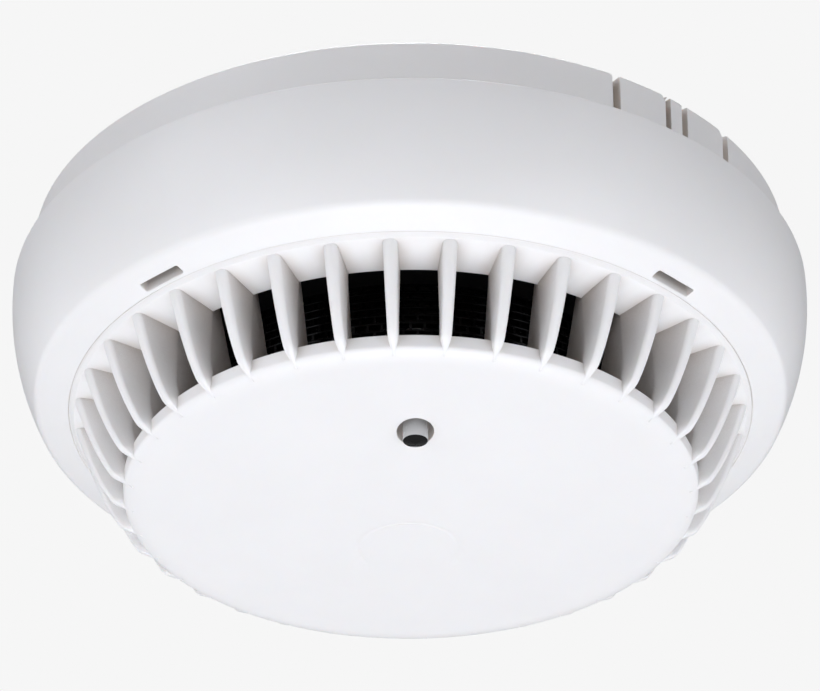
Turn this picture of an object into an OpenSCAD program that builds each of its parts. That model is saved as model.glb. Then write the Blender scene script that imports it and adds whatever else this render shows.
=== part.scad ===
// Ceiling heat detector: a twist-off head on a mounting base, with a pull-off vent cap.
// The ceiling is the plane Z = 0 and everything hangs below it, so every "depth" here
// is a distance below the ceiling and lies at Z = -depth. The alarm light is at -Y.
// Angles round the axis are measured from -Y towards +X.

/* [Mounting base] */
// Outer radius of the base wall
base_r = 52.5; // [51:0.1:52.5]
// Thickness of the base wall
base_wall = 2; // [1.6:0.1:2.4]
// Depth of the base wall's lower edge
base_depth = 12.8; // [11:0.1:12.8]
// Thickness of the plate against the ceiling
plate_t = 2.2; // [1.8:0.1:2.4]
// Radius of the cable entry
cable_r = 11; // [8:0.5:12]
// Depth of the collar round the cable entry
collar_depth = 5; // [4:0.5:8]
// Distance between the two ceiling screws
fixing_spacing = 56; // [54:0.5:58]
// Half-width of each ceiling screw slot
fixing_slot_r = 2.2; // [1.8:0.1:2.4]
// End-to-end length of each ceiling screw slot
fixing_slot_length = 12; // [8:0.5:12]

/* [Bayonet] */
// Number of bayonet lugs
lug_count = 3; // [3:1:4]
// Angular width of a lug on the head
lug_angle = 16; // [12:1:16]
// Angular width of a ledge in the base
ledge_angle = 18; // [14:1:18]

/* [Front cover] */
// Depth of the cover's upper rim
rim_depth = 7.5; // [6:0.1:8]
// Largest radius of the cover
cover_r = 55.3; // [55:0.1:56]
// Depth at which the cover is widest
widest_depth = 10; // [9.5:0.5:11]
// Radius of the bulge down the cover's side
bulge_r = 34; // [32:0.5:36]
// Radius of the corner between side and shoulder
corner_r = 1.8; // [1.5:0.1:2.5]
// Slope of the shoulder, in degrees below horizontal
shoulder_slope = 18; // [16:0.5:20]
// Length of the catch slots in the shoulder
catch_slot_length = 6.8; // [6:0.1:8]
// Width of the catch slots in the shoulder
catch_slot_width = 1.9; // [1.5:0.1:2]

/* [Vent cap] */
// Radius of the groove between the front cover and the cap
seam_r = 47.1; // [47:0.1:47.2]
// Depth of that groove
seam_depth = 26.75; // [26.5:0.05:27]
// Radius of the front disc and of the vent window above it
disc_r = 39.5; // [39.3:0.1:39.6]
// Depth of the upper edge of the vent window
window_top = 27.7; // [27.6:0.1:28]
// Depth of the lower edge of the vent window
window_bottom = 37.8; // [37.5:0.1:38]
// Depth of the middle of the front disc
face_depth = 41.4; // [41.2:0.1:42]
// Number of vanes
vane_count = 36; // [24:4:40]
// Thickness of a vane
vane_t = 1.6; // [1.4:0.1:1.8]

/* [Alarm light] */
// Distance of the alarm light from the axis
light_r = 20; // [19:0.5:21]
// Radius of the light pipe
light_pipe_r = 1.7; // [1.5:0.1:1.9]
// Half-width of the oval hole in the front disc
light_hole_r = 2.5; // [2.4:0.05:2.8]
// Distance that the light pipe stands out of the disc
light_pipe_proud = 1.6; // [1:0.1:2]

/* [Sensing parts] */
// Outer radius of the insect screen
screen_r = 33; // [32.5:0.1:33]
// Wall thickness of the insect screen
screen_t = 1.2; // [1:0.1:1.5]
// Distance of the thermistor beads from the axis
thermistor_r = 36.5; // [36.2:0.1:37]
// Outer radius of the optical labyrinth
labyrinth_r = 17; // [16:0.5:17]
// Number of baffles in the labyrinth
baffle_count = 14; // [12:1:14]

/* [Hidden] */
$fn = 96;
smooth = 8;          // straight steps in each rounded stretch of an outline
bite = 0.6;          // how far one shape runs into another that it joins
past = 1;            // how far a cut runs past the faces that it opens
quarter_angles = [45, 135, 225, 315];
square_angles = [0, 90, 180, 270];

// Levels of the head's inner parts
rear_top = 13.2;
rear_bottom = 15;
board_top = 16.4;
board_bottom = 18;
deck_top = 24.2;
deck_bottom = 25.8;
screen_bottom = window_bottom + 0.2;
disc_inner = window_bottom + 0.6;
lid_top = 36;
lid_bottom = 37.2;

// Inside of the base: collar, ribs from the bayonet ring to the wall, and pockets in the back
collar_t = 1.6;
rib_step = 30;
rib_t = 1.2;
rib_depth = 7;
pocket_inner = 41;
pocket_outer = 49;
pocket_depth = 0.8;
pocket_angle = 22;

// Bayonet: a ring in the base, and a boss on the head inside it
first_lug = 60;
socket_inner = 37.2;
socket_outer = 39.2;
socket_depth = 10.2;
ledge_inner = 35;
ledge_top = 7.7;
ledge_bottom = 9.8;
boss_outer = 34.6;
boss_inner = 33;
boss_top = 4.6;
lug_outer = 36.7;
lug_top = 5.2;
lug_bottom = 7.4;
stop_angle = 2;
stop_overlap = 0.5;

// Terminals, on the diagonals of the base
terminal_r = 22.5;
terminal_top = 5.8;
terminal_boss_w = 10;
terminal_boss_in = 5.5;
terminal_boss_out = 4.5;
pilot_r = 1.7;
pilot_top = 1.2;
strip_t = 0.6;
strip_w = 6;
tongue_w = 5;
tongue_run = 4.6;
tongue_depth = 8.9;
clamp_w = 7.6;
clamp_t = 1;
clamp_lip = 0.5;
lip_t = 0.8;
terminal_hole_r = 1.9;
terminal_screw_r = 1.6;
terminal_screw_tip = 1.4;
terminal_head_r = 3.1;
terminal_head_h = 1.9;
head_round = 0.7;
slot_w = 0.8;
slot_depth = 0.8;
slot_turn = 20;

// Contact blades of the head, which land on the sprung strips
blade_depth = 9.9;
blade_w = 5;
blade_t = 0.8;
blade_r = 31.2;
blade_foot = 3.6;
blade_play = 0.2;

// Cover screws go through the rear cover into bosses in the front cover
screw_r = 49.6;
screw_shank_r = 1.1;
screw_hole_r = 1.2;
screw_head_r = 2.4;
screw_head_h = 1;
recess_r = 2.6;
boss_r = 2.4;
boss_foot = seam_depth - 3.6;
cross_length = 2.8;
cross_w = 0.6;

// Front cover: the side bulge, the straight shoulder and the corner that joins them
rim_inner = base_r + 0.45;
gap = 0.2;
cover_hollow_r = cover_r - 3.7;
bulge_c = [cover_r - bulge_r, widest_depth];
shoulder_dir = [cos(shoulder_slope), -sin(shoulder_slope)];
shoulder_in = [-sin(shoulder_slope), -cos(shoulder_slope)];
shoulder_foot = [seam_r + gap, seam_depth];
corner_base = shoulder_foot + corner_r * shoulder_in - bulge_c;
corner_half = corner_base * shoulder_dir;
corner_run = -corner_half
    + sqrt(corner_half ^ 2 - corner_base * corner_base + (bulge_r - corner_r) ^ 2);
corner_c = bulge_c + corner_base + corner_run * shoulder_dir;
corner_from = atan2(corner_c[1] - bulge_c[1], corner_c[0] - bulge_c[0]);
rim_from = asin((rim_depth + 0.5 - widest_depth) / bulge_r);
groove_round = 0.4;
catch_slot_r = seam_r + 1.6;

// Board and the parts on it
board_r = 45.6;
spacer_r = 2.2;
spacer_at = 41;
peg_angles = [30, 150, 270];
peg_at = 34.7;
peg_r = 1.15;
peg_hole_r = 1.3;
chip_at = [14, -10];
chip_w = 7;
chip_h = 1.1;
pin_pitch = 0.8;
pin_w = 0.36;
capacitor_at = [-22, -8];
capacitor_foot = 8.4;
capacitor_foot_h = 0.8;
capacitor_r = 4;
capacitor_h = 5.5;
capacitor_round = 0.5;
resistor_at = [2, 17];
resistor_pitch = [3, 4];
resistor = [1.6, 0.9, 0.6];
can_at = [-16, 15];
can = [10, 8, 3.2];
can_t = 0.3;
reed_at = [0, 10.8];
reed_length = 10;
reed_r = 1.1;
reed_span = 15;
reed_lead_r = 0.3;
led_flange_r = 1.9;
led_flange_h = 0.8;
led_r = 1.5;
led_h = 4.1;

// Chamber, with its emitter and its light receiver round the middle of the labyrinth
deck_r = 38.9;
skirt_outer = 35.4;
skirt_inner = 34;
chamber_y = 4;
lid_lap = 0.8;
optic_at = 9;
emitter_angle = -70;
receiver_angle = 65;
optic_depth = 30.5;
optic_r = 2.4;
optic_flange = 0.4;
optic_pitch = 2.54;
optic_lead = 0.44;
optic_hole_r = 0.35;
emitter_length = 3;
receiver_length = 2;

// Thermistor beads, each on two leads from the board
thermistor_angles = [150, 210];
thermistor_depth = 33;
bead_r = 1.2;
lead_half = 0.5;
lead_r = 0.22;
lead_hole_r = 0.32;

// Light pipe: a rod with a flange above the deck
pipe_top = board_bottom + 4.4;
pipe_flange = 1.3;
pipe_flange_h = 1.2;
pipe_tip = 0.6;
pipe_end = face_depth - 0.25 + light_pipe_proud;

// Front disc: a rounded edge that runs into a very shallow dome
edge_run = 3.4;
edge_fall = 1.2;
edge_depth = face_depth - 0.8 - edge_fall;
dome_r = disc_r - 0.1 - edge_run;
disc_step = 2;
hole_stretch = 0.9;
sleeve_t = 0.9;
sleeve_top = 33.5;
mark_r = 7;
mark_w = 0.3;
mark_depth = 0.12;

// Vent ring: its underside runs straight from the seam to the window
ring_outer = seam_r - gap;
ring_edge = seam_depth + 0.1;
ring_slope = (window_top - ring_edge) / (ring_outer - disc_r);
ring_top = seam_depth - 2.2;
nose_r = 46;
leg_w = 6;
leg_face = ring_outer - 0.7;
leg_back = ring_outer - 1.9;
leg_foot = seam_depth - 1.8;
leg_catch = seam_depth - 3;
leg_tip = seam_depth - 7.5;
barb = 0.8;
barb_run = 2.6;

// Knock-out grooves in the base wall: [angle of the middle, width in degrees]
knockout_grooves = [[30.4, 1.25], [40.15, 0.95], [43.6, 1.1], [53.4, 1.3]];
knockout_depth = 1.5;
knockout_end = base_depth - 2;

// ---------- shapes that repeat ----------

// Points of an arc, in [radius, depth]
function arc(centre, r, from, to, steps = smooth) =
    [for (i = [0:steps]) let (a = from + (to - from) * i / steps)
        centre + r * [cos(a), sin(a)]];

// Points of a curve from a to d that b and c pull on, in [radius, depth]
function curve(a, b, c, d, steps = 2 * smooth) =
    [for (i = [0:steps]) let (t = i / steps, s = 1 - t)
        s ^ 3 * a + 3 * s ^ 2 * t * b + 3 * s * t ^ 2 * c + t ^ 3 * d];

// Points round an oval with these half-widths
function oval(across, along) = [for (a = [0:7.5:359]) [across * cos(a), along * sin(a)]];

// Depth of the underside of the vent ring at a radius
function ring_under(r) = window_top - ring_slope * (r - disc_r);

// Points of the front disc's rounded edge, between two angles of its quarter ellipse
function disc_edge(from = 0, to = 90, steps = smooth) =
    [for (i = [0:steps]) let (a = from + (to - from) * i / steps)
        [dome_r + edge_run * cos(a), edge_depth + edge_fall * sin(a)]];

// Solid of revolution from an outline in [radius, depth]
module turned(points) {
    rotate_extrude() polygon([for (p = points) [p[0], -p[1]]]);
}

// Round disc or tube between two depths
module disc(r, top, bottom) {
    translate([0, 0, -bottom]) cylinder(h = bottom - top, r = r);
}
module tube(outer, inner, top, bottom) {
    difference() {
        disc(outer, top, bottom);
        disc(inner, top - past, bottom + past);
    }
}

// Part of a tube, centred on an angle round the axis
module sector(outer, inner, top, bottom, angle, width) {
    rotate([0, 0, angle - 90 - width / 2])
        rotate_extrude(angle = width)
            translate([inner, -bottom]) square([outer - inner, bottom - top]);
}

// Copies of the children at a radius and at each angle; their own -Y then points outwards
module place(r, angles) {
    for (angle = angles) rotate([0, 0, angle]) translate([0, -r, 0]) children();
}

// Two copies of the children, a distance apart along X
module pair(distance) {
    for (side = [-1, 1]) translate([side * distance / 2, 0, 0]) children();
}

// Box between two depths: w across, from radius inner to radius outer
module block(w, inner, outer, top, bottom) {
    translate([-w / 2, -outer, -bottom]) cube([w, outer - inner, bottom - top]);
}

// Box that stands out of the board, with its middle at the origin
module on_board(size, lift = 0) {
    translate([-size[0] / 2, -size[1] / 2, -board_bottom - lift - size[2]]) cube(size);
}

// Hole with round ends along X
module slot_hole(r, length, top, bottom) {
    reach = length - 2 * r;
    pair(reach) disc(r, top, bottom);
    translate([-reach / 2, -r, -bottom]) cube([reach, 2 * r, bottom - top]);
}

// ---------- mounting base ----------

module bayonet_socket() {
    tube(socket_outer, socket_inner, plate_t - bite, socket_depth);
    for (i = [0:lug_count - 1]) {
        angle = first_lug + i * 360 / lug_count;
        sector(socket_inner + bite, ledge_inner, ledge_top, ledge_bottom, angle, ledge_angle);
        sector(socket_inner + bite, ledge_inner + bite, lug_top, ledge_top + bite,
               angle + (ledge_angle + stop_angle) / 2 - stop_overlap,
               stop_angle + 2 * stop_overlap);
    }
}

module base_solid() {
    disc(base_r, 0, plate_t);
    tube(base_r, base_r - base_wall, plate_t - bite, base_depth);
    disc(cable_r + collar_t, plate_t - bite, collar_depth);
    bayonet_socket();
    place(0, quarter_angles)
        block(terminal_boss_w, terminal_r - terminal_boss_in, terminal_r + terminal_boss_out,
              plate_t - bite, terminal_top);
    place(0, [rib_step / 2:rib_step:359])
        block(rib_t, socket_outer - bite, base_r - base_wall / 2, plate_t - bite, rib_depth);
}

module mounting_base() {
    color("whitesmoke") difference() {
        base_solid();
        disc(cable_r, -past, collar_depth + past);
        pair(fixing_spacing)
            slot_hole(fixing_slot_r, fixing_slot_length, -past, plate_t + past);
        place(terminal_r, quarter_angles) disc(pilot_r, pilot_top, terminal_top + past);
        for (angle = [0:rib_step:359])
            sector(pocket_outer, pocket_inner, -past, pocket_depth, angle, pocket_angle);
        for (half = [0, 180], groove = knockout_grooves)
            sector(base_r + past, base_r - knockout_depth, -past, knockout_end,
                   half + groove[0], groove[1]);
    }
}

// Sprung strip that the head's blade presses on; its foot lies under the clamp plate
module contact_springs() {
    foot = terminal_top + strip_t;
    bend = terminal_r + terminal_boss_out;
    color("goldenrod") place(0, quarter_angles) difference() {
        union() {
            block(strip_w, terminal_r - terminal_boss_in + 0.5, bend + strip_t, terminal_top, foot);
            block(strip_w, bend, bend + strip_t, terminal_top, tongue_depth + strip_t);
            block(tongue_w, bend, bend + tongue_run, tongue_depth, tongue_depth + strip_t);
        }
        translate([0, -terminal_r, 0]) disc(terminal_hole_r, 0, foot + past);
    }
}

// Plate with a lip on each side, under the terminal screw's head
module clamp_plates() {
    top = terminal_top + strip_t;
    inner = terminal_r - clamp_w / 2;
    outer = terminal_r + clamp_w / 2;
    color("silver") place(0, quarter_angles) difference() {
        union() {
            block(clamp_w, inner, outer, top, top + clamp_t);
            pair(clamp_w - lip_t) block(lip_t, inner, outer, top - clamp_lip, top + clamp_t);
        }
        translate([0, -terminal_r, 0]) disc(terminal_hole_r, 0, top + clamp_t + past);
    }
}

// Screws with domed slotted heads that face down
module terminal_screws() {
    top = terminal_top + strip_t + clamp_t;
    bottom = top + terminal_head_h;
    edge = terminal_head_r - head_round;
    color("lightgray") place(terminal_r, quarter_angles) rotate([0, 0, slot_turn]) difference() {
        union() {
            disc(terminal_screw_r, terminal_screw_tip, top + bite);
            turned(concat([[0, top], [terminal_head_r, top]],
                          arc([edge, bottom - head_round], head_round, 0, 90, 4),
                          [[0, bottom]]));
        }
        translate([-terminal_head_r - past, -slot_w / 2, -bottom - past])
            cube([2 * (terminal_head_r + past), slot_w, slot_depth + past]);
    }
}

// ---------- head: casings ----------

module front_cover() {
    rim_outer = bulge_c + bulge_r * [cos(rim_from), sin(rim_from)];
    outside = concat(
        [[rim_inner, rim_depth + 0.4], [rim_inner + 0.4, rim_depth]],
        [[rim_outer[0] - 0.6, rim_depth], [rim_outer[0] - 0.15, rim_depth + 0.2]],
        arc(bulge_c, bulge_r, rim_from, corner_from, 2 * smooth),
        arc(corner_c, corner_r, corner_from, 90 - shoulder_slope),
        [shoulder_foot + groove_round * shoulder_dir,
         shoulder_foot + [0, -groove_round]]);
    inside = [
        [seam_r + gap, seam_depth - 2.1], [seam_r + 2.1, seam_depth - 2.7],
        [cover_hollow_r - 0.9, seam_depth - 5.2], [cover_hollow_r, board_top + 0.6],
        [cover_hollow_r, rear_bottom], [rim_inner, rear_bottom]];
    color("white") difference() {
        union() {
            turned(concat(outside, inside));
            place(screw_r, square_angles) disc(boss_r, rear_bottom, boss_foot);
        }
        place(screw_r, square_angles) disc(screw_hole_r, rear_bottom - past, boss_foot - 1);
        place(0, quarter_angles)
            block(catch_slot_length, catch_slot_r - catch_slot_width / 2,
                  catch_slot_r + catch_slot_width / 2, seam_depth - 6, seam_depth + 2);
    }
}

module rear_cover() {
    color("gainsboro") difference() {
        union() {
            disc(rim_inner - 0.35, rear_top, rear_bottom);
            tube(boss_outer, boss_inner, boss_top, rear_top + bite);
            for (i = [0:lug_count - 1])
                sector(lug_outer, boss_outer - bite, lug_top, lug_bottom,
                       first_lug + i * 360 / lug_count, lug_angle);
            place(spacer_at, quarter_angles) disc(spacer_r, rear_bottom - bite, board_top);
        }
        place(screw_r, square_angles) {
            disc(screw_hole_r, rear_top - past, rear_bottom + past);
            disc(recess_r, rear_top - past, rear_top + screw_head_h);
        }
        place(0, quarter_angles)
            block(blade_w + 2 * blade_play, blade_r - blade_play, blade_r + blade_t + blade_play,
                  rear_top - past, rear_bottom + past);
    }
}

// Thread-forming screws with cross recesses, driven from the back of the head
module cover_screws() {
    color("silver") place(screw_r, square_angles) difference() {
        union() {
            disc(screw_head_r, rear_top, rear_top + screw_head_h);
            disc(screw_shank_r, rear_top, boss_foot - 1.4);
        }
        place(0, [0, 90])
            translate([-cross_length / 2, -cross_w / 2, -rear_top - cross_w])
                cube([cross_length, cross_w, cross_w + past]);
    }
}

// ---------- head: electronics ----------

module contact_blades() {
    color("goldenrod") place(0, quarter_angles) {
        block(blade_w, blade_r, blade_r + blade_t, blade_depth, board_top);
        block(blade_w, blade_r - blade_foot, blade_r + blade_t, blade_depth, blade_depth + blade_t);
    }
}

module circuit_board() {
    color("darkgreen") difference() {
        disc(board_r, board_top, board_bottom);
        place(peg_at, peg_angles) disc(peg_hole_r, board_top - past, board_bottom + past);
    }
}

// Square chip with a row of leads on each side
module microcontroller() {
    reach = chip_w / 2 - 0.1;
    color("black") translate([chip_at[0], chip_at[1], 0]) {
        on_board([chip_w, chip_w, chip_h], 0.1);
        place(0, square_angles) for (i = [-3:3])
            translate([i * pin_pitch, 0, 0])
                block(pin_w, reach, reach + 1.1, board_bottom, board_bottom + 0.35);
    }
}

module filter_capacitor() {
    bottom = board_bottom + capacitor_h;
    color("silver") translate([capacitor_at[0], capacitor_at[1], 0]) {
        on_board([capacitor_foot, capacitor_foot, capacitor_foot_h]);
        turned(concat([[0, board_bottom + 0.7], [capacitor_r, board_bottom + 0.7]],
                      arc([capacitor_r - capacitor_round, bottom - capacitor_round],
                          capacitor_round, 0, 90, 4),
                      [[0, bottom]]));
    }
}

// Small chip resistors in three rows
module resistors() {
    color("dimgray") for (row = [0:2], i = [0:4])
        translate([resistor_at[0] + i * resistor_pitch[0], resistor_at[1] + row * resistor_pitch[1], 0])
            on_board(resistor);
}

// Tinplate box over the light receiver's amplifier, open towards the board
module shield_can() {
    color("silver") translate([can_at[0], can_at[1], 0]) difference() {
        on_board(can);
        on_board([can[0] - 2 * can_t, can[1] - 2 * can_t, can[2] - can_t + past], -past);
    }
}

// Glass tube with a lead at each end, worked by a test magnet held to the front disc
module reed_switch() {
    color("lightgreen")
        translate([reed_at[0], reed_at[1], -board_bottom - reed_r - 0.2]) rotate([0, 90, 0]) {
            translate([0, 0, -reed_length / 2]) cylinder(h = reed_length, r = reed_r);
            translate([0, 0, -reed_span / 2]) cylinder(h = reed_span, r = reed_lead_r);
        }
}

module alarm_led() {
    flange = board_bottom + led_flange_h;
    color("red") place(light_r, [0]) turned(concat(
        [[0, board_bottom], [led_flange_r, board_bottom], [led_flange_r, flange], [led_r, flange]],
        arc([0, board_bottom + led_h - led_r], led_r, 0, 90)));
}

// Clear rod that carries the alarm light to the front, with a flange that the deck holds
module light_pipe() {
    end = pipe_end - pipe_tip;
    flange = light_pipe_r + pipe_flange;
    color("gainsboro") place(light_r, [0]) turned(concat(
        [[0, pipe_top], [light_pipe_r, pipe_top], [light_pipe_r, deck_top - pipe_flange_h],
         [flange, deck_top - pipe_flange_h], [flange, deck_top], [light_pipe_r, deck_top]],
        [for (i = [0:4]) let (a = i * 22.5)
            [light_pipe_r * cos(a), end + pipe_tip * sin(a)]]));
}

// ---------- head: sensors ----------

module thermistors() {
    color("black") place(thermistor_r, thermistor_angles)
        translate([0, 0, -thermistor_depth]) sphere(r = bead_r);
}

module thermistor_leads() {
    bead_top = thermistor_depth - sqrt(bead_r ^ 2 - lead_half ^ 2);
    color("silver") place(thermistor_r, thermistor_angles)
        pair(2 * lead_half) disc(lead_r, board_bottom, bead_top + 0.01);
}

// Deck over the board, on a skirt with pegs; everything in the air slot stands on it
module chamber_base() {
    color("black") difference() {
        union() {
            disc(deck_r, deck_top, deck_bottom);
            tube(skirt_outer, skirt_inner, board_bottom, deck_top + bite);
            place(peg_at, peg_angles) disc(peg_r, board_top - 1, board_bottom + bite);
        }
        place(light_r, [0]) disc(light_pipe_r + 0.15, deck_top - past, deck_bottom + past);
        place(thermistor_r, thermistor_angles)
            pair(2 * lead_half) disc(lead_hole_r, deck_top - past, deck_bottom + past);
        translate([0, chamber_y, 0]) place(optic_at, [emitter_angle, receiver_angle])
            pair(optic_pitch) disc(optic_hole_r, deck_top - past, deck_bottom + past);
    }
}

// Round optic that faces the middle of the chamber, on two leads from the board
module optic(angle, length) {
    translate([0, chamber_y, 0]) place(optic_at, [angle]) {
        translate([0, 0, -optic_depth]) rotate([-90, 0, 0]) {
            cylinder(h = length, r = optic_r);
            translate([0, 0, length]) sphere(r = optic_r);
            translate([0, 0, -1]) cylinder(h = 1 + bite, r = optic_r + optic_flange);
        }
        pair(optic_pitch)
            block(optic_lead, -optic_lead / 2, optic_lead / 2, board_bottom, optic_depth);
    }
}

module ir_emitter() {
    color("midnightblue") optic(emitter_angle, emitter_length);
}

module photodiode() {
    color("black") optic(receiver_angle, receiver_length);
}

// Bent baffles that let smoke in and keep light out
module labyrinth() {
    step = 360 / baffle_count;
    color("black") translate([0, chamber_y, 0])
        place(labyrinth_r, [for (i = [0:baffle_count - 1]) (i + 0.5) * step])
            translate([0, 0, -lid_top]) linear_extrude(lid_top - deck_bottom)
                polygon([[-1.6, 0], [-0.6, 0], [1.5, 2], [-0.6, 4], [-1.6, 4], [0.3, 2]]);
}

module chamber_lid() {
    color("black") translate([0, chamber_y, 0])
        disc(labyrinth_r + lid_lap, lid_top, lid_bottom);
}

module insect_screen() {
    color("black") tube(screen_r, screen_r - screen_t, deck_bottom, screen_bottom);
}

// ---------- vent cap ----------

// Snap leg with a barb that springs behind the front cover's inner edge
module snap_leg() {
    rotate([90, 0, 90]) translate([0, 0, -leg_w / 2]) linear_extrude(leg_w) polygon([
        [-leg_face, -leg_foot], [-leg_face, -leg_catch], [-leg_face - barb, -leg_catch],
        [-leg_face, -leg_catch + barb_run], [-leg_face, -leg_tip],
        [-leg_back, -leg_tip], [-leg_back, -leg_foot]]);
}

module vent_ring() {
    color("white") {
        turned(concat(
            [[ring_outer, ring_top], [ring_outer, ring_edge - groove_round],
             [ring_outer - groove_round, ring_under(ring_outer - groove_round)],
             [disc_r + 0.5, ring_under(disc_r + 0.5)], [disc_r, window_top - 0.3],
             [disc_r, window_top - 1.7], [disc_r + 2, window_top - 2.2],
             [ring_outer - 2, ring_top]]));
        place(0, quarter_angles) snap_leg();
    }
}

// Outline of one vane: down the curved outer edge, back along the disc, then up inside the ring
vane_outline = concat(
    [[disc_r, ring_under(disc_r)]],
    curve([nose_r, ring_under(nose_r)], [nose_r, 27.5], [41.8, 41.3], [37.2, 40.68]),
    disc_edge(68, 0, 5),
    [[disc_r, window_bottom], [disc_r - disc_step, window_bottom], [disc_r - disc_step, disc_inner],
     [34, disc_inner], [36, window_top - 1.1], [disc_r - 0.02, window_top - 1.1]]);

module vanes() {
    color("white") for (i = [0:vane_count - 1])
        rotate([90, 0, (i + 0.5) * 360 / vane_count + 180])
            translate([0, 0, -vane_t / 2]) linear_extrude(vane_t)
                polygon([for (p = vane_outline) [p[0], -p[1]]]);
}

// Oval prism round the alarm light, grown past the hole in the front disc
module light_oval(grow, top, bottom) {
    place(light_r, [0]) translate([0, 0, -bottom]) linear_extrude(bottom - top)
        polygon(oval(light_hole_r + grow, light_hole_r + hole_stretch + grow));
}

module front_disc() {
    dome_fall = face_depth - edge_depth - edge_fall;
    color("white") difference() {
        union() {
            turned(concat(
                [[disc_r - disc_step, disc_inner], [disc_r - disc_step, window_bottom],
                 [disc_r, window_bottom]],
                disc_edge(),
                [for (i = [1:smooth]) let (r = dome_r * (1 - i / smooth))
                    [r, face_depth - dome_fall * (r / dome_r) ^ 2]],
                [[0, face_depth - 2.2], [disc_r - 6, disc_inner]]));
            light_oval(sleeve_t, sleeve_top, face_depth - 1.2);
        }
        light_oval(0, sleeve_top - past, face_depth + past);
        translate([reed_at[0], reed_at[1], 0])
            tube(mark_r + mark_w / 2, mark_r - mark_w / 2, face_depth - mark_depth,
                 face_depth + past);
    }
}

mounting_base();
contact_springs();
clamp_plates();
terminal_screws();
front_cover();
rear_cover();
cover_screws();
contact_blades();
circuit_board();
microcontroller();
filter_capacitor();
resistors();
shield_can();
reed_switch();
alarm_led();
light_pipe();
thermistors();
thermistor_leads();
chamber_base();
ir_emitter();
photodiode();
labyrinth();
chamber_lid();
insect_screen();
vent_ring();
vanes();
front_disc();
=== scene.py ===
import math

import bmesh
import bpy
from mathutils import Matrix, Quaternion, Vector

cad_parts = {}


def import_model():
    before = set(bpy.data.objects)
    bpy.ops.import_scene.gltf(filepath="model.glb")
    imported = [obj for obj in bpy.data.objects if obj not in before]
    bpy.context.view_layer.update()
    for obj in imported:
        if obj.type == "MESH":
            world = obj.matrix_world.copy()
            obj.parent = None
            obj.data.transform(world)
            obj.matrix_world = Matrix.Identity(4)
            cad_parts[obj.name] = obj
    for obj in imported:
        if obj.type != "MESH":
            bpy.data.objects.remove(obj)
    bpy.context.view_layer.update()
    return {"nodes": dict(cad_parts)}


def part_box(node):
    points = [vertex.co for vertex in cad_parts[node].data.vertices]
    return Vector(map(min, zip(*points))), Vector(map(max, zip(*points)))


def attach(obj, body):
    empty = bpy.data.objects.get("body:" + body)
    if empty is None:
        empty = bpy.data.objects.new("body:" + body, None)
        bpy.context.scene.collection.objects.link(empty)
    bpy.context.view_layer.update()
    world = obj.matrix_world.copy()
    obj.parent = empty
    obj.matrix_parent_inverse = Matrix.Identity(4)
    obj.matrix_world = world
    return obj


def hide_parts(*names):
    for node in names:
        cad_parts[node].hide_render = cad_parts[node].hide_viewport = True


# A ceiling heat detector, seen from below. Outlines are in millimetres as (radius, depth below the
# ceiling), and angles are in degrees from -Y, where the alarm light is, towards +X.
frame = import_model()
MM = 0.001


def radius_of(node):
    """Outer radius of a round CAD node."""
    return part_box(node)[1].x / MM


def top_of(node):
    """Depth of a CAD node's upper end."""
    return -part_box(node)[1].z / MM


def bottom_of(node):
    """Depth of a CAD node's lower end."""
    return -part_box(node)[0].z / MM


def middle_of(node):
    """Distance of a CAD node's middle from the axis, towards -Y."""
    low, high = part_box(node)
    return -(low.y + high.y) / 2 / MM


# ---------- driving sizes ----------

# Angles of the base's terminals and of the cap's catches
QUARTERS = (45, 135, 225, 315)

# Mounting base
BASE_R = radius_of("mounting_base")
BASE_BOTTOM = bottom_of("mounting_base")
BASE_WALL = 2
PLATE = 2.2
CABLE_R = 11
COLLAR_R = 12.6
COLLAR_BOTTOM = 5
FIXING_AT = 28
FIXING_SLOT = (12, 4.4)  # length, width
POCKETS = (41, 49, 0.8, 22)  # inner and outer radius, depth, angle
RIB_STEP = 30
RIB = (7, 1.2)  # bottom, thickness
KNOCKOUTS = (  # angle of the groove's middle, its width in degrees, chamfer of its lower-angle edge
    (30.4, 1.25, 0.35), (40.15, 0.95, 0.8), (43.6, 1.1, 0.3), (53.4, 1.3, 0.9))
KNOCKOUT_DEEP = 1.5
KNOCKOUT_END = BASE_BOTTOM - 2
GROOVE_EDGE = 0.14
BAYONET = (37.2, 39.2, 10.2)  # inner and outer radius, bottom
LEDGE = (35, 7.7, 9.8, 18)  # inner radius, top, bottom, angle
LEDGES_AT = (60, 180, 300)
TERMINAL = (17, 27, 5.8, 10)  # inner and outer radius, bottom, width
PILOT = (22.5, 1.7, 1.2, 7)  # distance from the axis, radius, top, bottom

# Front cover
COVER_R = radius_of("front_cover")
RIM = top_of("front_cover")
SEAM = bottom_of("front_cover")
WIDEST = 10
BULGE_R = 34
CORNER_R = 1.8
SHOULDER = math.radians(18)
COVER_TOP_INSIDE = 15
COVER_WALL = 3.7
BASE_GAP = 0.45
CATCH_SLOT = (7.0, 1.4)  # length, width
CATCH_AT = 48.35
BOSS = (49.6, 1.2, 2.4, SEAM - 3.6)  # distance from the axis, hole and outer radius, bottom
BOSSES_AT = (0, 90, 180, 270)

# Vent cap
RING_R = radius_of("vent_ring")
WINDOW_TOP = bottom_of("vent_ring") + 0.15
DISC_R = radius_of("front_disc")
FACE = bottom_of("front_disc")
WINDOW_BOTTOM = FACE - 3.6
FOOT_R = RING_R + 0.25
RING_EDGE = SEAM + 0.4
LIP_GAP = 0.03
CATCH_LEG = (RING_R - 1.9, RING_R - 0.7, 6)  # inner and outer radius, width

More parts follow.
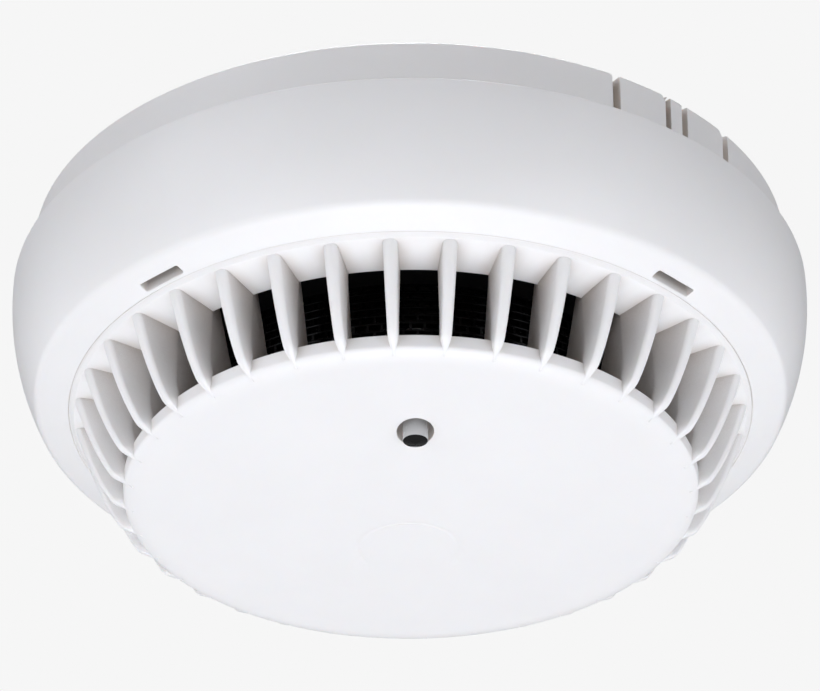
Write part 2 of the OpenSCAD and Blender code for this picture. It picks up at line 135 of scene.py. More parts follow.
# Vanes: the nose is a curve from the ring to the tip, and the inner edge a straight line
VANE_COUNT = 36
NOSE_R = 46.35
NOSE_PULL = ((NOSE_R, 27.5), (42.1, 41.1))
TIP = (38.3, 40.45)
INNER_TOP = (37.6, WINDOW_TOP - 1.5)
INNER_BOTTOM = (34, WINDOW_BOTTOM + 1)
INNER_TIP = (36.5, 39.6)
VANE_HALF = 1.0  # half of the thickness at the ring
VANE_DRAFT = 0.28  # what that half has lost at the disc
INNER_SHARE = 0.4  # thickness near the inner edge, as a share of the nose's
NOSE_ROUND = 0.85  # radius of the nose's corners, as a share of half the thickness
TIP_FROM = 0.72  # where the tip starts to get thinner, from 0, the ring, to 1, the tip
TIP_LOSS = 0.85  # share of the thickness that is gone at the end of the tip
VANE_STEPS = 30
CREASE_R = DISC_R + 0.2

# Front disc: a slightly domed face with a wide rounded edge
EDGE_RUN = 3.4
EDGE_FALL = 1.2
DOME_R = DISC_R - 0.1 - EDGE_RUN
DOME_FALL = 0.8
EDGE_DEPTH = FACE - DOME_FALL - EDGE_FALL
SKIM_SLOPE = math.radians(31)  # the vane tips stay above a line that slopes so from the disc's edge
TIP_PROUD = 0.04
SLEEVE_WALL = 0.9
SLEEVE_TOP = top_of("front_disc")
MARK_AT = 10.8
MARK_R = 7
MARK_HALF = 0.4

# Light pipe and its hole
LIGHT_AT = middle_of("light_pipe")
PIPE_R = 1.7
PIPE_FLANGE = (3, 23, 24.2)  # radius, top, bottom
LIGHT_HOLE = (5.0, 6.8)  # across, along the radius

# Insect screen
SCREEN_R = radius_of("insect_screen")
SCREEN_T = 1.2
SCREEN_TOP = top_of("insect_screen")
SCREEN_BOTTOM = bottom_of("insect_screen")
SCREEN_ROWS = 10
SCREEN_BARS = 108
SCREEN_BAR = 0.34

# Thermistors: distance from the axis, angles, depth and radius of the bead
THERMISTORS = (36.5, (150, 210), 33, 1.2)

SEGMENTS = 288


# ---------- outlines ----------

def spot(radius, angle, depth):
    """Point in metres from a radius, an angle and a depth."""
    turn = math.radians(angle)
    return Vector((radius * math.sin(turn), -radius * math.cos(turn), -depth)) * MM


def plan(radius, angle):
    """Place seen from below, in millimetres, of a radius and an angle."""
    place = spot(radius, angle, 0) / MM
    return place.x, place.y


def arc(centre, radius, start, end, steps):
    """Points along an arc, from one angle to another in radians."""
    turns = [start + (end - start) * i / steps for i in range(steps + 1)]
    return [(centre[0] + radius * math.cos(t), centre[1] + radius * math.sin(t)) for t in turns]


def curve(a, b, c, d, t):
    """Point on the curve from a to d that b and c pull on."""
    s = 1 - t
    weights = (s ** 3, 3 * s * s * t, 3 * s * t * t, t ** 3)
    return tuple(sum(w * p[k] for w, p in zip(weights, (a, b, c, d))) for k in (0, 1))


def rounded(corners, steps=4):
    """Closed outline from (radius, depth) points; a third number is the fillet at that corner."""
    outline = []
    for i, corner in enumerate(corners):
        here = Vector(corner[:2])
        if len(corner) < 3:
            outline.append(tuple(here))
            continue
        back = Vector(corners[i - 1][:2]) - here
        ahead = Vector(corners[(i + 1) % len(corners)][:2]) - here
        half = back.angle(ahead) / 2
        reach = min(corner[2] / math.tan(half), 0.49 * back.length, 0.49 * ahead.length)
        fillet = reach * math.tan(half)
        middle = here + (back.normalized() + ahead.normalized()).normalized() * fillet / math.sin(half)
        first = here + back.normalized() * reach - middle
        last = here + ahead.normalized() * reach - middle
        for k in range(steps + 1):
            way = first.lerp(last, k / steps)
            outline.append(tuple(middle + way.normalized() * fillet))
    return outline


def ellipse(width, height, grow):
    """Points round an ellipse: width across, height along the radius."""
    steps = 48
    turns = [2 * math.pi * k / steps for k in range(steps)]
    return [((width / 2 + grow) * math.cos(t), (height / 2 + grow) * math.sin(t)) for t in turns]


def round_rectangle(length, width, corner, grow=0):
    """Points round a rectangle with round corners: length across, width along the radius."""
    steps = 6
    half_x, half_y, r = length / 2 + grow, width / 2 + grow, corner + grow
    points = []
    for sx, sy, start in ((1, 1, 0), (-1, 1, 90), (-1, -1, 180), (1, -1, 270)):
        for k in range(steps + 1):
            turn = math.radians(start + 90 * k / steps)
            points.append((sx * (half_x - r) + r * math.cos(turn),
                           sy * (half_y - r) + r * math.sin(turn)))
    return points


# ---------- solids ----------

def skin(bm, rings, closed):
    """Faces between rings of vertices; closed joins the last ring to the first, else the ends are capped."""
    pairs = list(zip(rings, rings[1:]))
    if closed:
        pairs.append((rings[-1], rings[0]))
    for ring, after in pairs:
        for i in range(len(ring)):
            j = (i + 1) % len(ring)
            corners = list(dict.fromkeys((ring[i], ring[j], after[j], after[i])))
            if len(corners) > 2:
                bm.faces.new(corners)
    if not closed:
        bm.faces.new(rings[0])
        bm.faces.new(rings[-1])


def loft(bm, sections):
    """Closed solid through sections, each a list of points in metres."""
    skin(bm, [[bm.verts.new(p) for p in section] for section in sections], False)


def lathe(bm, outline, centre=(0, 0), segments=SEGMENTS):
    """Solid of revolution from a closed outline; a point on the axis becomes one vertex."""
    shift = Vector((centre[0], centre[1], 0)) * MM
    rings = []
    for radius, depth in outline:
        if radius < 1e-6:
            rings.append([bm.verts.new(spot(0, 0, depth) + shift)] * segments)
        else:
            rings.append([bm.verts.new(spot(radius, 360 * i / segments, depth) + shift)
                          for i in range(segments)])
    skin(bm, rings, True)


def around(bm, angles, outline_at):
    """Closed ring whose outline changes with the angle."""
    skin(bm, [[bm.verts.new(spot(r, angle, depth)) for r, depth in outline_at(angle)]
              for angle in angles], True)


def slab(bm, outline, angle, width):
    """Plate of one width, set on a radius, with its outline in (radius, depth)."""
    across = spot(1, angle + 90, 0)
    loft(bm, [[spot(r, angle, depth) + across * side * width / 2 for r, depth in outline]
              for side in (-1, 1)])


def hole_cutter(bm, at, angle, shape, surface, inner, lip):
    """Cutter for a hole whose rim is rounded where it opens through a surface that faces down."""
    levels = [(lip, 1)]
    for k in range(5):
        turn = math.radians(90 * k / 4)
        levels.append((lip * (1 - math.sin(turn)), -lip * (1 - math.cos(turn))))
    out, across = spot(1, angle, 0), spot(1, angle + 90, 0)
    sections = []
    for grow, drop in levels:
        points = []
        for x, y in shape(grow):
            radius = math.hypot(at + y, x)
            points.append(out * (at + y) + across * x + spot(0, 0, surface(radius) + drop))
        sections.append(points)
    sections.append([Vector((p.x, p.y, -inner * MM)) for p in sections[-1]])
    loft(bm, sections)


def cut(piece, bm):
    """Take the solids in a bmesh away from a piece."""
    tool = bpy.data.objects.new("cutter", bpy.data.meshes.new("cutter"))
    bmesh.ops.recalc_face_normals(bm, faces=bm.faces)
    bm.to_mesh(tool.data)
    bm.free()
    bpy.context.scene.collection.objects.link(tool)
    step = piece.modifiers.new("cut", "BOOLEAN")
    step.operation = "DIFFERENCE"
    step.solver = "EXACT"
    step.use_self = True
    step.object = tool
    shown = piece.evaluated_get(bpy.context.evaluated_depsgraph_get())
    piece.data = bpy.data.meshes.new_from_object(shown)
    piece.modifiers.clear()
    bpy.data.objects.remove(tool)


def smooth(piece, sharp=40):
    """Smooth shading, with edges sharper than an angle left crisp."""
    for face in piece.data.polygons:
        face.use_smooth = True
    piece.data.set_sharp_from_angle(angle=math.radians(sharp))


def make(name, bm, body, material, slot, *nodes):
    """Piece from a bmesh that rides on a body, with the CAD nodes it replaces hidden."""
    bmesh.ops.recalc_face_normals(bm, faces=bm.faces)
    piece = bpy.data.objects.new(name, bpy.data.meshes.new(name))
    bm.to_mesh(piece.data)
    bm.free()
    bpy.context.scene.collection.objects.link(piece)
    piece.data.materials.append(material)
    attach(piece, body)
    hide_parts(*nodes)
    smooth(piece)
    return piece


# ---------- materials ----------

def moulded(name, low, high, rough, grain=0.35, relief=0.004, metallic=0.0, blotch=9.0, hollow_painted_shade=None,
            **sockets):
    """Material with slow colour drift, uneven gloss and a fine grain; sizes in millimetres.

    Painted shade: where a surface is hemmed in by others, its colour is darkened and tinted by the
    hollow_painted_shade setting, which gives a colour, how far away what hems it in may be, the openness at
    which the painted shade is full, and the openness at which it has gone.
    """
    material = bpy.data.materials.new(name)
    material.use_nodes = True
    nodes, links = material.node_tree.nodes, material.node_tree.links
    shader = nodes["Principled BSDF"]
    place = nodes.new("ShaderNodeTexCoord")

    def noise(size, detail):
        texture = nodes.new("ShaderNodeTexNoise")
        texture.inputs["Scale"].default_value = 1 / (size * MM)
        texture.inputs["Detail"].default_value = detail
        links.new(place.outputs["Object"], texture.inputs["Vector"])
        return texture.outputs["Fac"]

    tone = nodes.new("ShaderNodeMix")
    tone.data_type = "RGBA"
    tone.inputs["A"].default_value = (*low, 1)
    tone.inputs["B"].default_value = (*high, 1)
    links.new(noise(blotch, 3), tone.inputs["Factor"])
    colour = tone.outputs["Result"]
    # Painted shade: the colour is darkened and warmed where an ambient-occlusion node finds the surface
    # hemmed in.
    if hollow_painted_shade:
        shade, reach, darkest, clear = hollow_painted_shade
        hemmed = nodes.new("ShaderNodeAmbientOcclusion")
        hemmed.inputs["Distance"].default_value = reach * MM
        hemmed.samples = 8
        openness = nodes.new("ShaderNodeMapRange")
        openness.inputs["From Min"].default_value = darkest
        openness.inputs["From Max"].default_value = clear
        links.new(hemmed.outputs["AO"], openness.inputs["Value"])
        tint = nodes.new("ShaderNodeMix")
        tint.data_type = "RGBA"
        tint.inputs["A"].default_value = (*shade, 1)
        links.new(openness.outputs["Result"], tint.inputs["Factor"])
        links.new(colour, tint.inputs["B"])
        colour = tint.outputs["Result"]
    links.new(colour, shader.inputs["Base Color"])

    gloss = nodes.new("ShaderNodeMapRange")
    gloss.inputs["To Min"].default_value = rough[0]
    gloss.inputs["To Max"].default_value = rough[1]
    links.new(noise(3 * grain, 4), gloss.inputs["Value"])
    links.new(gloss.outputs["Result"], shader.inputs["Roughness"])

    bump = nodes.new("ShaderNodeBump")
    bump.inputs["Distance"].default_value = relief * MM
    bump.inputs["Strength"].default_value = 1
    links.new(noise(grain, 2), bump.inputs["Height"])
    links.new(bump.outputs["Normal"], shader.inputs["Normal"])

    shader.inputs["Metallic"].default_value = metallic
    for socket, value in sockets.items():
        shader.inputs[socket.replace("_", " ")].default_value = value
    return material


def grey(level):
    """Neutral linear colour."""
    return (level, level, level)


def tinted(level, warmth):
    """Linear colour at a level, with a little more red and less blue."""
    return (level * (1 + warmth), level, level * (1 - warmth))


# White mouldings let some light through, so their hollows look warm and only a little darker. The two hollow
# settings below paint that as shade: an ambient-occlusion node mixes the colour towards a warm dark tone in
# the hollows.
HOLLOW_PAINTED_SHADE = ((0.64, 0.57, 0.51), 2.2, 0, 1)
# Painted shade between the vanes: it reaches farther and goes darker and browner than in other hollows.
VANE_PAINTED_SHADE = ((0.32, 0.25, 0.20), 8, 0.10, 0.60)
WHITE = {"Subsurface_Weight": 0.12, "Subsurface_Radius": (1, 0.7, 0.5), "Subsurface_Scale": 1.0 * MM}
WALL_ROUGH = (0.38, 0.50)
CAP_TONES = (tinted(0.84, 0.015), tinted(0.87, 0.012))
# These white materials carry the painted hollow shade as well as the plastic's own colour.
COVER_WHITE = moulded("cover_white", tinted(0.83, 0.015), tinted(0.86, 0.012), WALL_ROUGH, hollow_painted_shade=HOLLOW_PAINTED_SHADE,
                      **WHITE)
CAP_WHITE = moulded("cap_white", *CAP_TONES, WALL_ROUGH, hollow_painted_shade=HOLLOW_PAINTED_SHADE, **WHITE)
VANE_WHITE = moulded("vane_white", *CAP_TONES, WALL_ROUGH, hollow_painted_shade=VANE_PAINTED_SHADE, **WHITE)
BASE_WHITE = moulded("base_white", tinted(0.79, 0.018), tinted(0.82, 0.015), (0.42, 0.55), hollow_painted_shade=HOLLOW_PAINTED_SHADE,
                     **WHITE)
REAR_WHITE = moulded("rear_white", tinted(0.72, 0.01), tinted(0.77, 0.01), (0.45, 0.60))
SCREEN_BLACK = moulded("screen_black", grey(0.001), grey(0.002), (0.18, 0.32), grain=0.2,
                       Specular_IOR_Level=0.15)
CHAMBER_BLACK = moulded("chamber_black", grey(0.004), grey(0.008), (0.50, 0.70), grain=0.3,
                        Specular_IOR_Level=0.25)
PIPE_GREY = moulded("pipe_grey", grey(0.50), grey(0.57), (0.20, 0.32), relief=0.001)
PIPE_END = moulded("pipe_end", grey(0.008), grey(0.014), (0.05, 0.10), relief=0.0005,
                   Specular_IOR_Level=0.15)
BRONZE = moulded("rolled_bronze", (0.58, 0.40, 0.19), (0.70, 0.50, 0.26), (0.22, 0.38), 0.1, 0.002, 1)
ZINC = moulded("plated_zinc", (0.52, 0.53, 0.55), (0.62, 0.63, 0.65), (0.28, 0.45), 0.15, 0.002, 1)
TINPLATE = moulded("tinplate", grey(0.60), grey(0.72), (0.15, 0.30), 0.3, 0.002, 1)
LAMINATE = moulded("green_laminate", (0.008, 0.06, 0.022), (0.014, 0.09, 0.034), (0.25, 0.42), 0.5,
                   0.01)
CHIP_BLACK = moulded("chip_black", grey(0.010), grey(0.018), (0.5, 0.7), 0.1, 0.004)
DRAWN_CAN = moulded("drawn_can", grey(0.50), grey(0.62), (0.20, 0.32), 0.2, 0.002, 1)
CERAMIC = moulded("glazed_ceramic", grey(0.010), grey(0.020), (0.12, 0.25), 0.2, 0.002)
REED_GLASS = moulded("reed_glass", (0.30, 0.42, 0.33), (0.38, 0.52, 0.42), (0.03, 0.08), 0.5, 0.0005,
                     Transmission_Weight=0.6)
LED_RED = moulded("led_red", (0.35, 0.010, 0.008), (0.45, 0.016, 0.012), (0.12, 0.22), 0.4, 0.001)
DIPPED_EPOXY = moulded("dipped_epoxy", grey(0.010), grey(0.018), (0.10, 0.25), 0.6, 0.01)
TINNED_WIRE = moulded("tinned_wire", grey(0.52), grey(0.66), (0.20, 0.35), 0.1, 0.001, 1)
EMITTER_BLUE = moulded("emitter_blue", (0.020, 0.024, 0.080), (0.030, 0.036, 0.110), (0.06, 0.15), 0.5,
                       0.001)
RECEIVER_BLACK = moulded("receiver_black", grey(0.010), grey(0.016), (0.06, 0.15), 0.5, 0.001)


def paint(material, *nodes):
    """Give a material to CAD nodes that stay as they are."""
    for node in nodes:
        for place in frame["nodes"][node].material_slots:
            place.material = material


# ---------- mounting base ----------

def groove(angle, depth):
    """How far into the wall a knock-out groove reaches at a place, from 0 to 1."""
    deep = 0
    for middle, width, chamfer in KNOCKOUTS:
        away = (angle - middle + 90) % 180 - 90
        if away < 0:
            away += math.degrees(max(0, chamfer - depth) / BASE_R)
        ramp = min(1, max(0, 0.5 - (abs(away) - width / 2) / GROOVE_EDGE))
        deep = max(deep, ramp * ramp * (3 - 2 * ramp))
    return deep


def base_outline(angle):
    """Wall and plate of the base; only the outer wall changes with the angle.

    The levels at 0.6, 0.9 and 1.4 let the chamfered grooves narrow in steps near the ceiling.
    """
    inner = BASE_R - BASE_WALL
    outline = rounded([
        (CABLE_R, 0, 0.3), (BASE_R, 0, 0.35), (BASE_R, 0.6), (BASE_R, 0.9), (BASE_R, 1.4),
        (BASE_R, KNOCKOUT_END - 0.1), (BASE_R, KNOCKOUT_END + 0.1), (BASE_R, BASE_BOTTOM, 0.3),
        (inner, BASE_BOTTOM, 0.3), (inner, PLATE, 0.5), (COLLAR_R, PLATE, 0.4),
        (COLLAR_R, COLLAR_BOTTOM, 0.3), (CABLE_R, COLLAR_BOTTOM, 0.3)], 3)
    return [(r - KNOCKOUT_DEEP * groove(angle, d), d) if r > inner + 1 and d < KNOCKOUT_END else (r, d)
            for r, d in outline]


def base_inside(bm):
    """Bayonet ring with its ledges, ribs out to the wall, and terminal bosses, all standing on the plate."""
    root = PLATE - 0.6
    inner, outer, bottom = BAYONET
    ledge_r, ledge_top, ledge_bottom, ledge_angle = LEDGE
    rib_bottom, rib_width = RIB
    near, far, terminal_bottom, terminal_width = TERMINAL
    lathe(bm, rounded([(inner, root), (outer, root), (outer, bottom, 0.3), (inner, bottom, 0.3)]))
    for middle in LEDGES_AT:
        turns = [middle + ledge_angle * (k / 12 - 0.5) for k in range(13)]
        ledge = rounded([(inner + 0.6, ledge_top), (inner + 0.6, ledge_bottom),
                         (ledge_r, ledge_bottom, 0.2), (ledge_r, ledge_top, 0.2)])
        loft(bm, [[spot(r, turn, depth) for r, depth in ledge] for turn in turns])
    for angle in range(RIB_STEP // 2, 360, RIB_STEP):
        slab(bm, [(outer - 0.6, root), (BASE_R - 1, root), (BASE_R - 1, rib_bottom),
                  (outer - 0.6, rib_bottom)], angle, rib_width)
    for angle in QUARTERS:
        slab(bm, rounded([(near, root), (far, root), (far, terminal_bottom, 0.3),
                          (near, terminal_bottom, 0.3)]), angle, terminal_width)


def mounting_base():
    """Base moulding, with its knock-out grooves and everything that stands inside it."""
    angles = {360 * i / SEGMENTS for i in range(SEGMENTS)}
    chamfer_step = 0.12
    for middle, width, chamfer in KNOCKOUTS:
        for side in (-1, 1):
            edge = middle + side * width / 2
            angles.update(edge + GROOVE_EDGE * k / 4 + half for k in range(-2, 3) for half in (0, 180))
        low = middle - width / 2 - math.degrees(chamfer / BASE_R)
        angles.update(low + chamfer_step * k + half for k in range(9) for half in (0, 180))
    bm = bmesh.new()
    around(bm, sorted(angles), base_outline)
    base_inside(bm)
    piece = make("base_moulding", bm, "base", BASE_WHITE, "base_plastic", "mounting_base")

    inner, outer, deep, span = POCKETS
    tools = bmesh.new()
    for angle in range(0, 360, RIB_STEP):
        turns = [angle - span / 2 + span * k / 12 for k in range(13)]
        edge = [(inner, -1), (outer, -1), (outer - 0.1, deep), (inner + 0.1, deep)]
        loft(tools, [[spot(r, turn, depth) for r, depth in edge] for turn in turns])
    for side in (90, 270):
        points = round_rectangle(FIXING_SLOT[1], FIXING_SLOT[0], FIXING_SLOT[1] / 2)
        out, across = spot(1, side, 0), spot(1, side + 90, 0)
        loft(tools, [[out * (FIXING_AT + y) + across * x + spot(0, 0, depth) for x, y in points]
                     for depth in (-1, PLATE + 1)])
    distance, radius, top, bottom = PILOT
    for angle in QUARTERS:
        lathe(tools, [(0, top), (radius, top), (radius, bottom), (0, bottom)], plan(distance, angle), 48)
    cut(piece, tools)
    smooth(piece, 30)


# ---------- front cover ----------

def cover_outline():
    """Bulging side, round corner and straight shoulder of the cover, then its inside."""
    along = Vector((math.cos(SHOULDER), -math.sin(SHOULDER)))
    inward = Vector((-math.sin(SHOULDER), -math.cos(SHOULDER)))
    foot = Vector((FOOT_R, SEAM))
    bulge = Vector((COVER_R - BULGE_R, WIDEST))
    base = foot + CORNER_R * inward - bulge
    half = base.dot(along)
    run = -half + math.sqrt(half ** 2 - base.dot(base) + (BULGE_R - CORNER_R) ** 2)
    corner = bulge + base + run * along
    meet = math.atan2(corner.y - bulge.y, corner.x - bulge.x)
    start = math.asin((RIM - WIDEST) / BULGE_R)
    rim_inner = BASE_R + BASE_GAP
    side = arc(bulge, BULGE_R, start, meet, 40)
    turn = arc(corner, CORNER_R, meet, math.pi / 2 - SHOULDER, 12)
    shoulder = [tuple(Vector(turn[-1]).lerp(foot, k / 6)) for k in range(1, 6)]
    outside = [(rim_inner, RIM, 0.3), (*side[0], 0.35)] + side[1:] + turn[1:] + shoulder
    inside = [
        (*foot, 0.12), (FOOT_R, SEAM - 2.1, 0.2), (FOOT_R + 1.9, SEAM - 2.7, 0.6),
        (COVER_R - 4.6, SEAM - 5.2, 1.5), (COVER_R - COVER_WALL, COVER_TOP_INSIDE + 2),
        (COVER_R - COVER_WALL, COVER_TOP_INSIDE, 0.2), (rim_inner, COVER_TOP_INSIDE, 0.2)]
    return rounded(outside + inside)


def shoulder_depth(radius):
    """Depth of the cover's shoulder at a radius."""
    return SEAM - (radius - FOOT_R) * math.tan(SHOULDER)


def front_cover():
    """Cover moulding with its four screw bosses and four catch slots."""
    boss_at, hole_r, boss_r, bottom = BOSS
    bm = bmesh.new()
    lathe(bm, cover_outline())
    for angle in BOSSES_AT:
        lathe(bm, rounded([(hole_r, COVER_TOP_INSIDE), (boss_r, COVER_TOP_INSIDE), (boss_r, bottom, 0.3),
                           (0, bottom), (0, bottom - 1), (hole_r, bottom - 1)]), plan(boss_at, angle), 48)
    piece = make("cover_moulding", bm, "head", COVER_WHITE, "cover_plastic", "front_cover")
    tools = bmesh.new()
    for angle in QUARTERS:
        hole_cutter(tools, CATCH_AT, angle, lambda grow: round_rectangle(*CATCH_SLOT, 0.3, grow),
                    shoulder_depth, SEAM - 6, 0.15)
    cut(piece, tools)
    smooth(piece)


# ---------- vent cap ----------

def ring_under(radius):
    """Depth of the vent ring's underside at a radius."""
    return WINDOW_TOP - (WINDOW_TOP - RING_EDGE) * (radius - DISC_R) / (RING_R - DISC_R)


def vent_ring():
    """Ring between the cover and the window, with a lip that closes the seam, and its snap legs."""
    lip = FOOT_R - LIP_GAP
    edge = RING_R - 0.45
    bm = bmesh.new()
    lathe(bm, rounded([
        (RING_R - 0.1, SEAM - 2.2), (RING_R - 0.1, SEAM - 0.9), (lip, SEAM - 0.8, 0.1), (lip, SEAM - 0.08),
        (RING_R + 0.05, SEAM - 0.08, 0.2), (edge, ring_under(edge), 0.3),
        (DISC_R + 1, ring_under(DISC_R + 1)), (DISC_R, WINDOW_TOP, 0.12), (DISC_R, WINDOW_TOP - 1.7, 0.3),
        (DISC_R + 2, WINDOW_TOP - 2.2, 0.5), (RING_R - 2, SEAM - 2.2)]))
    back, face, width = CATCH_LEG
    for angle in QUARTERS:
        slab(bm, rounded([
            (face, SEAM - 1.8), (face, SEAM - 3), (face + 0.8, SEAM - 3, 0.15), (face, SEAM - 5.6, 0.5),
            (face, SEAM - 7.5, 0.3), (back, SEAM - 7.5, 0.3), (back, SEAM - 1.8)]), angle, width)
    make("vent_ring_moulding", bm, "cap", CAP_WHITE, "cap_plastic", "vent_ring")


def skim_depth(radius):
    """Depth of a sloping line that passes just below the disc's rounded edge.

    No vane reaches below it, so from the camera the disc all but hides the tips on its far side.
    """
    slope = math.tan(SKIM_SLOPE)
    turn = math.atan2(EDGE_FALL, slope * EDGE_RUN)
    touch = DOME_R + EDGE_RUN * math.cos(turn)
    return EDGE_DEPTH + EDGE_FALL * math.sin(turn) + TIP_PROUD - slope * (radius - touch)


def vane_section(along, sunk):
    """Section of a vane as (radius, depth, offset) points, at a place from 0, the ring, to 1, the tip.

    A sunk section is moved up into the ring.
    """
    outer = Vector(curve((NOSE_R, ring_under(NOSE_R)), *NOSE_PULL, TIP, along))
    outer.y = min(outer.y, skim_depth(outer.x))
    down = max(0, min(1, (outer.y - WINDOW_TOP) / (WINDOW_BOTTOM - WINDOW_TOP)))
    inner = Vector(INNER_TOP).lerp(Vector(INNER_BOTTOM), down)
    if sunk:
        outer.y -= 0.8
        inner.y -= 0.2
    half = VANE_HALF - VANE_DRAFT * down
    if along > TIP_FROM:
        fade = (along - TIP_FROM) / (1 - TIP_FROM)
        half *= 1 - TIP_LOSS * fade ** 1.3
        inner = inner.lerp(Vector(INNER_TIP), fade)
    ray = (outer - inner).normalized()
    crease = min((CREASE_R - inner.x) / (outer.x - inner.x), 0.6) if outer.x > inner.x else 0.5
    at_crease = inner.lerp(outer, crease)
    inner_half = INNER_SHARE * half
    side = [(inner, 0.7 * inner_half), (inner + ray * 0.25, inner_half),
            (at_crease - ray * 0.5, half - 0.15), (at_crease - ray * 0.06, half - 0.03),
            (at_crease + ray * 0.06, half), (at_crease + ray * 0.5, half)]
    corner = NOSE_ROUND * half
    for step in range(6):
        turn = math.radians(90 * step / 5)
        side.append((outer - ray * corner * (1 - math.sin(turn)), half - corner * (1 - math.cos(turn))))
    return [(p.x, p.y, h) for p, h in side] + [(p.x, p.y, -h) for p, h in reversed(side)]


def vanes():
    """Ring of drafted vanes whose tips run out on the front disc."""
    sections = [vane_section(0, True)] + [vane_section(k / VANE_STEPS, False) for k in range(VANE_STEPS + 1)]
    bm = bmesh.new()
    for i in range(VANE_COUNT):
        angle = (i + 0.5) * 360 / VANE_COUNT
        across = spot(1, angle + 90, 0)
        loft(bm, [[spot(r, angle, depth) + across * offset for r, depth, offset in section]
                  for section in sections])
    make("vane_mouldings", bm, "cap", VANE_WHITE, "cap_plastic", "vanes")


def dome_depth(radius):
    """Depth of the front disc's face at a radius."""
    return FACE - DOME_FALL * (radius / DOME_R) ** 2


def front_disc():
    """Front disc with its oval light hole and the faint ring that marks the test magnet's place."""
    turns = [math.radians(a) for a in range(0, 91, 6)]
    edge = [(DOME_R + EDGE_RUN * math.cos(t), EDGE_DEPTH + EDGE_FALL * math.sin(t)) for t in turns]
    dome = [(DOME_R * (1 - k / 12), dome_depth(DOME_R * (1 - k / 12))) for k in range(1, 13)]
    inner = WINDOW_BOTTOM + 0.6
    bm = bmesh.new()
    lathe(bm, rounded(
        [(DISC_R - 2, inner, 0.1), (DISC_R - 2, WINDOW_BOTTOM, 0.2), (DISC_R, WINDOW_BOTTOM, 0.2)]
        + edge + dome + [(0, FACE - 2.2), (DISC_R - 6, inner)]))
    loft(bm, [[spot(LIGHT_AT + y, 0, depth) + spot(x, 90, 0) for x, y in ellipse(*LIGHT_HOLE, SLEEVE_WALL)]
              for depth in (SLEEVE_TOP, FACE - 1.2)])
    piece = make("front_disc_moulding", bm, "cap", CAP_WHITE, "cap_plastic", "front_disc")
    tools = bmesh.new()
    hole_cutter(tools, LIGHT_AT, 0, lambda grow: ellipse(*LIGHT_HOLE, grow), dome_depth,
                SLEEVE_TOP - 1, 0.1)
    below, skin_depth, groove_depth = FACE + 1, dome_depth(MARK_AT) + 0.03, dome_depth(MARK_AT) - 0.09
    lathe(tools, [(MARK_R - MARK_HALF, below), (MARK_R - MARK_HALF, skin_depth), (MARK_R, groove_depth),
                  (MARK_R + MARK_HALF, skin_depth), (MARK_R + MARK_HALF, below)], (0, MARK_AT), 120)
    cut(piece, tools)
    smooth(piece)


# ---------- what shows through the vent and the hole ----------

def insect_screen():
    """Black screen with openings laid like bricks: rings joined by short staggered bars."""
    inner = SCREEN_R - SCREEN_T
    pitch = (SCREEN_BOTTOM - SCREEN_TOP) / SCREEN_ROWS
    bm = bmesh.new()
    for row in range(SCREEN_ROWS + 1):
        middle = SCREEN_TOP + row * pitch
        top = max(middle - SCREEN_BAR / 2, SCREEN_TOP)
        bottom = min(middle + SCREEN_BAR / 2, SCREEN_BOTTOM)
        lathe(bm, rounded([(inner, top), (SCREEN_R, top, 0.08), (SCREEN_R, bottom, 0.08),
                           (inner, bottom)], 2))
    for row in range(SCREEN_ROWS):
        top = SCREEN_TOP + row * pitch
        for i in range(SCREEN_BARS):
            angle = (i + 0.5 * (row % 2)) * 360 / SCREEN_BARS
            slab(bm, [(inner + 0.1, top), (SCREEN_R - 0.05, top), (SCREEN_R - 0.05, top + pitch),
                      (inner + 0.1, top + pitch)], angle, SCREEN_BAR)
    make("screen_bricks", bm, "head", SCREEN_BLACK, "screen_black", "insect_screen")


def light_pipe():
    """Light pipe: a grey rod with a flange, and a black glossy end that comes to a very flat point."""
    top, bottom = top_of("light_pipe"), bottom_of("light_pipe") + 0.2
    flange_r, flange_top, flange_bottom = PIPE_FLANGE
    bm = bmesh.new()
    lathe(bm, rounded([
        (0, top), (PIPE_R, top, 0.15), (PIPE_R, flange_top), (flange_r, flange_top, 0.15),
        (flange_r, flange_bottom, 0.15), (PIPE_R, flange_bottom), (PIPE_R, bottom - 0.4, 0.12),
        (0.35, bottom - 0.06, 0.4), (0, bottom)]), (0, -LIGHT_AT), 64)
    piece = make("light_pipe_rod", bm, "head", PIPE_GREY, "light_pipe_acrylic", "light_pipe")
    piece.data.materials.append(PIPE_END)
    for face in piece.data.polygons:
        if face.center.z < -(bottom - 0.42) * MM:
            face.material_index = 1


def thermistor_beads():
    """Two dipped beads, drawn up along their leads into a drop shape."""
    radius, angles, middle, size = THERMISTORS
    bead = arc((0, middle), size, math.pi / 2, -math.pi / 5, 12)
    neck = [curve(bead[-1], (0.62, middle - 1.15), (0.5, middle - 1.5), (0.42, middle - 2.1), k / 6)
            for k in range(1, 7)]
    drop = [(0, bead[0][1])] + bead[1:] + neck + [(0, middle - 2.3)]
    bm = bmesh.new()
    for angle in angles:
        lathe(bm, drop, plan(radius, angle), 32)
    make("thermistor_beads", bm, "head", DIPPED_EPOXY, "thermistor_epoxy", "thermistors")


# ---------- studio ----------

COOL = (0.965, 0.985, 1.05)

# Camera: lens in millimetres, distance in metres, angles in degrees, depth of the point it looks at
LENS = 289.7
CAMERA_DISTANCE = 0.911
CAMERA_AZIMUTH = -1.81
CAMERA_ELEVATION = -31.1
CAMERA_RAISED = 0.63
CAMERA_ROLL = -0.4
TARGET_DEPTH = 26.9


def towards(azimuth, elevation):
    """Unit vector at an azimuth from the front and an elevation, both in degrees."""
    a, e = math.radians(azimuth), math.radians(elevation)
    return Vector((math.sin(a) * math.cos(e), -math.cos(a) * math.cos(e), math.sin(e)))


